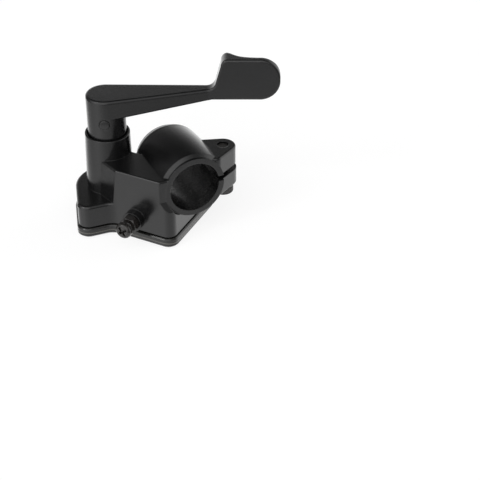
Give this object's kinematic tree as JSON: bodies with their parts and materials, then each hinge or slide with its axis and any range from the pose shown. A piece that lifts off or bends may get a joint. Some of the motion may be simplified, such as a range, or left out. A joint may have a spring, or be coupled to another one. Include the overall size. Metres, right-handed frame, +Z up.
{
  "type": "thumb throttle lever",
  "caption": "Black thumb throttle lever with a split clamp for a 22.2 mm handlebar, a sprung shaft, an enclosed cable arm and a throttle limiter screw.",
  "frame": {"origin": "centre of the handlebar bore, half way along the clamp", "axes": "+Y runs along the handlebar from the clamp's open front ring to its back, +Z runs up along the lever's shaft, +X points to the side of the clamp bolt"},
  "size_m": [0.087, 0.0548, 0.0722],
  "materials": {
    "black_paint": "semi-gloss black paint on cast aluminium",
    "cover_paint": "semi-gloss black paint, a little warmer and worn at the edge",
    "gasket_rubber": "matt black rubber",
    "zinc_steel": "zinc plated steel",
    "black_steel": "blackened steel, bright where worn",
    "shaft_steel": "ground steel",
    "bush_plastic": "natural bearing plastic",
    "spring_steel": "oiled spring steel"
  },
  "bodies": {
    "housing": {"housing": "black_paint", "bottom_cover": "cover_paint", "cover_gasket": "gasket_rubber", "cover_screws": "zinc_steel", "clamp_bolt": "black_steel", "clamp_lock_washer": "black_steel", "upper_bush": "bush_plastic", "lower_bush": "bush_plastic", "dust_seal": "gasket_rubber", "return_spring": "spring_steel", "thrust_washer": "shaft_steel", "limiter_lock_nut": "black_steel"},
    "lever": {"throttle_lever": "black_paint", "lever_shaft": "shaft_steel", "lever_pin": "black_steel", "cable_arm": "zinc_steel", "arm_lock_washer": "zinc_steel", "arm_nut": "zinc_steel"},
    "limiter": {"limiter_screw": "black_steel"}
  },
  "joints": [
    {"name": "lever_pivot", "type": "hinge", "parent": "housing", "child": "lever", "pos_m": [-0.0247, 0.0178, 0], "axis": [0, 0, -1], "range_deg": [0, 50], "stiffness_Nm_per_rad": 0.1, "springref_deg": -57.3, "deforming": ["return_spring"]},
    {"name": "limiter_adjust", "type": "slide", "parent": "housing", "child": "limiter", "axis": [-0.7965, -0.6046, 0], "range_m": [0, 0.006]}
  ]
}
